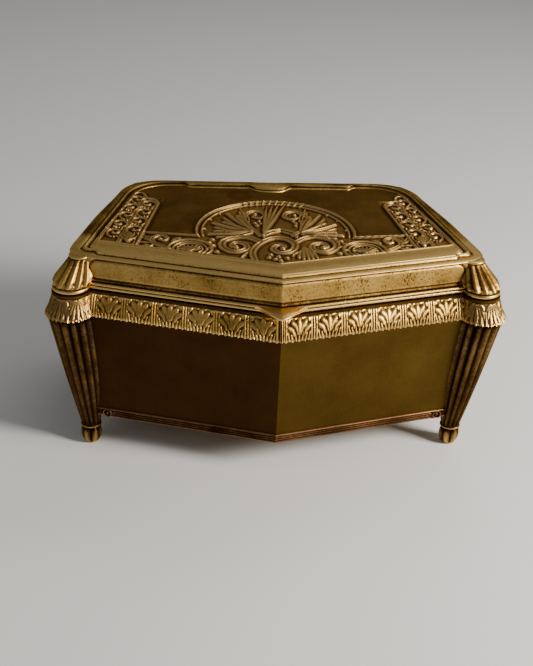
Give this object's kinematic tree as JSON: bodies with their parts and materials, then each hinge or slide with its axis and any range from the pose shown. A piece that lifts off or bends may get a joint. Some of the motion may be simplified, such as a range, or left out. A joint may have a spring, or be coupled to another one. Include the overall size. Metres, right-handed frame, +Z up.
{
  "type": "vanity trinket box",
  "caption": "Footed gilt-metal trinket casket with a pointed front, fluted corner legs, a relief-cast hinged lid with a thumb lip, and a padded lining.",
  "frame": {"origin": "bottom centre of the closed box's bounding box, on the surface it stands on", "axes": "+Z up, -Y towards the pointed front with the thumb lip, +X towards the box's right side as seen with +Y away from the viewer"},
  "size_m": [0.2106, 0.145, 0.0986],
  "materials": {
    "gilt_satin": "aged satin gilt, brown patina",
    "gilt_relief": "cast gilt relief, worn bright ridges and dark recesses",
    "hinge_brass": "dull drawn brass",
    "lining_velvet": "short-pile velvet over padding"
  },
  "bodies": {
    "casket": {"base_moulding_back": "gilt_satin", "base_moulding_front_left": "gilt_satin", "base_moulding_front_right": "gilt_satin", "base_moulding_left": "gilt_satin", "base_moulding_right": "gilt_satin", "body_rim": "gilt_satin", "floor_plate": "gilt_satin", "frieze_back": "gilt_relief", "frieze_front_left": "gilt_relief", "frieze_front_right": "gilt_relief", "frieze_left": "gilt_relief", "frieze_right": "gilt_relief", "hinge_knuckles_body": "hinge_brass", "hinge_pin": "hinge_brass", "leg_back_left": "gilt_relief", "leg_back_right": "gilt_relief", "leg_front_left": "gilt_relief", "leg_front_right": "gilt_relief", "lining_floor_pad": "lining_velvet", "lining_walls": "lining_velvet", "wall_back": "gilt_satin", "wall_front_left": "gilt_satin", "wall_front_right": "gilt_satin", "wall_left": "gilt_satin", "wall_right": "gilt_satin"},
    "lid": {"hinge_knuckles_lid": "hinge_brass", "lid_corner_back_left": "gilt_relief", "lid_corner_back_right": "gilt_relief", "lid_corner_front_left": "gilt_relief", "lid_corner_front_right": "gilt_relief", "lid_lining_pad": "lining_velvet", "lid_shell": "gilt_satin", "thumb_lip": "gilt_satin"}
  },
  "joints": [
    {"name": "lid_hinge", "type": "hinge", "parent": "casket", "child": "lid", "pos_m": [0, 0.068, 0.0829], "axis": [-1, 0, 0], "range_deg": [0, 100]}
  ]
}
